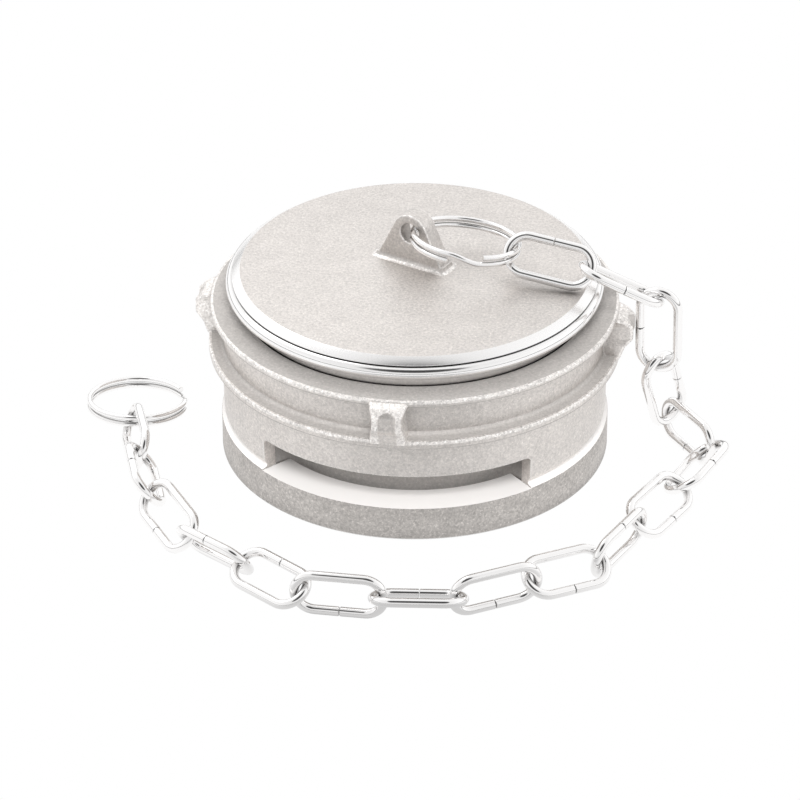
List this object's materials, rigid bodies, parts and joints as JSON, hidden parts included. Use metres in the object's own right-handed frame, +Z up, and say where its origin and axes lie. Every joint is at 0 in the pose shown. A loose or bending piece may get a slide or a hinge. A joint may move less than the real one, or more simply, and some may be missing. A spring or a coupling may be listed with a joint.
{
  "type": "guillemin coupling cap",
  "caption": "Symmetrical hose coupling cap with a turning locking ring, a lid ear, and a chain that keeps the cap with its pipe.",
  "frame": {"origin": "centre of the locking ring's lower rim, on the axis of the cap", "axes": "+Z up along the cap's axis, from the coupling face to the ear; -Y to the front, where one window and one lug face the viewer; the chain leaves over the side at +X"},
  "size_m": [0.2037, 0.179, 0.0777],
  "materials": {
    "cast_steel": "as-cast stainless, fine blasted grain",
    "spring_wire": "bright drawn wire",
    "polished_wire": "electropolished wire",
    "seal_rubber": "moulded, matt"
  },
  "bodies": {
    "cap": {"cap_body": "cast_steel", "retaining_ring": "spring_wire", "snap_ring": "spring_wire", "face_seal": "seal_rubber"},
    "locking_ring": {"locking_ring": "cast_steel"},
    "ear_split_ring": {"ear_split_ring": "polished_wire"},
    "chain_link_01": {"chain_link_01": "polished_wire"},
    "chain_link_02": {"chain_link_02": "polished_wire"},
    "chain_link_03": {"chain_link_03": "polished_wire"},
    "chain_link_04": {"chain_link_04": "polished_wire"},
    "chain_link_05": {"chain_link_05": "polished_wire"},
    "chain_link_06": {"chain_link_06": "polished_wire"},
    "chain_link_07": {"chain_link_07": "polished_wire"},
    "chain_link_08": {"chain_link_08": "polished_wire"},
    "chain_link_09": {"chain_link_09": "polished_wire"},
    "chain_link_10": {"chain_link_10": "polished_wire"},
    "chain_link_11": {"chain_link_11": "polished_wire"},
    "chain_link_12": {"chain_link_12": "polished_wire"},
    "chain_link_13": {"chain_link_13": "polished_wire"},
    "chain_link_14": {"chain_link_14": "polished_wire"},
    "chain_link_15": {"chain_link_15": "polished_wire"},
    "chain_link_16": {"chain_link_16": "polished_wire"},
    "chain_link_17": {"chain_link_17": "polished_wire"},
    "end_split_ring": {"end_split_ring": "polished_wire"}
  },
  "joints": [
    {"name": "locking_turn", "type": "hinge", "parent": "cap", "child": "locking_ring", "pos_m": [0, 0, 0.0475], "axis": [0, 0, 1], "continuous": true},
    {"name": "ear_swing", "type": "hinge", "parent": "cap", "child": "ear_split_ring", "pos_m": [-0.0007, 0.0045, 0.0716], "axis": [0.4067, 0.9135, 0], "range_deg": [-30, 0]},
    {"name": "link_01_swing", "type": "hinge", "parent": "ear_split_ring", "child": "chain_link_01", "pos_m": [0.03161, -0.00178, 0.0693], "axis": [0.176, 0.969, -0.1732], "range_deg": [-8, 0]},
    {"name": "link_02_swing", "type": "hinge", "parent": "chain_link_01", "child": "chain_link_02", "pos_m": [0.05514, -0.00593, 0.06679], "axis": [0.1905, 0.6191, 0.7618], "range_deg": [-30, 0]},
    {"name": "link_03_swing", "type": "hinge", "parent": "chain_link_02", "child": "chain_link_03", "pos_m": [0.07566, -0.00231, 0.05571], "axis": [0.2732, -0.9412, 0.1986], "range_deg": [0, 30]},
    {"name": "link_04_swing", "type": "hinge", "parent": "chain_link_03", "child": "chain_link_04", "pos_m": [0.07591, -0.00198, 0.03211], "axis": [0.9781, -0.208, 0.0071], "range_deg": [-30, 30]},
    {"name": "link_05_swing", "type": "hinge", "parent": "chain_link_04", "child": "chain_link_05", "pos_m": [0.07988, 0.00549, 0.01008], "axis": [-0.6257, -0.6976, -0.3492], "range_deg": [-30, 30]},
    {"name": "link_06_swing", "type": "hinge", "parent": "chain_link_05", "child": "chain_link_06", "pos_m": [0.09375, -0.0136, 0.01049], "axis": [0.0321, 0.0449, 0.9985], "range_deg": [-20, 30]},
    {"name": "link_07_swing", "type": "hinge", "parent": "chain_link_06", "child": "chain_link_07", "pos_m": [0.08492, -0.03545, 0.00925], "axis": [-0.8014, 0.3512, -0.4841], "range_deg": [-30, 23]},
    {"name": "link_08_swing", "type": "hinge", "parent": "chain_link_07", "child": "chain_link_08", "pos_m": [0.07457, -0.05666, 0.00884], "axis": [0.6934, -0.3257, -0.6427], "range_deg": [-30, 18]},
    {"name": "link_09_swing", "type": "hinge", "parent": "chain_link_08", "child": "chain_link_09", "pos_m": [0.06424, -0.07784, 0.00761], "axis": [0.1179, -0.115, 0.9863], "range_deg": [-7, 30]},
    {"name": "link_10_swing", "type": "hinge", "parent": "chain_link_09", "child": "chain_link_10", "pos_m": [0.0452, -0.09168, 0.00925], "axis": [0.4622, -0.7008, -0.5433], "range_deg": [-30, 9]},
    {"name": "link_11_swing", "type": "hinge", "parent": "chain_link_10", "child": "chain_link_11", "pos_m": [0.02437, -0.10275, 0.00843], "axis": [-0.0266, 0.1239, -0.9919], "range_deg": [-30, 4]},
    {"name": "link_12_swing", "type": "hinge", "parent": "chain_link_11", "child": "chain_link_12", "pos_m": [0.00083, -0.1044, 0.00802], "axis": [0.0596, -0.9378, 0.342], "range_deg": [-11, 30]},
    {"name": "link_13_swing", "type": "hinge", "parent": "chain_link_12", "child": "chain_link_13", "pos_m": [-0.02273, -0.10317, 0.00761], "axis": [0.0183, 0.0165, -0.9997], "range_deg": [-30, 4]},
    {"name": "link_14_swing", "type": "hinge", "parent": "chain_link_13", "child": "chain_link_14", "pos_m": [-0.04158, -0.08896, 0.0072], "axis": [0.5196, 0.7036, 0.4847], "range_deg": [-30, 30]},
    {"name": "link_15_swing", "type": "hinge", "parent": "chain_link_14", "child": "chain_link_15", "pos_m": [-0.06066, -0.0751, 0.00637], "axis": [0.3521, 0.4354, -0.8285], "range_deg": [-30, 7]},
    {"name": "link_16_swing", "type": "hinge", "parent": "chain_link_15", "child": "chain_link_16", "pos_m": [-0.07445, -0.05611, 0.00884], "axis": [-0.5671, -0.313, -0.7618], "range_deg": [-30, 10]},
    {"name": "link_17_swing", "type": "hinge", "parent": "chain_link_16", "child": "chain_link_17", "pos_m": [-0.08135, -0.03355, 0.00843], "axis": [-0.6186, -0.1751, 0.7659], "range_deg": [-17, 30]},
    {"name": "end_swing", "type": "hinge", "parent": "chain_link_17", "child": "end_split_ring", "pos_m": [-0.08824, -0.01103, 0.00678], "axis": [-0.3237, -0.167, -0.9313], "range_deg": [-30, 30]}
  ]
}
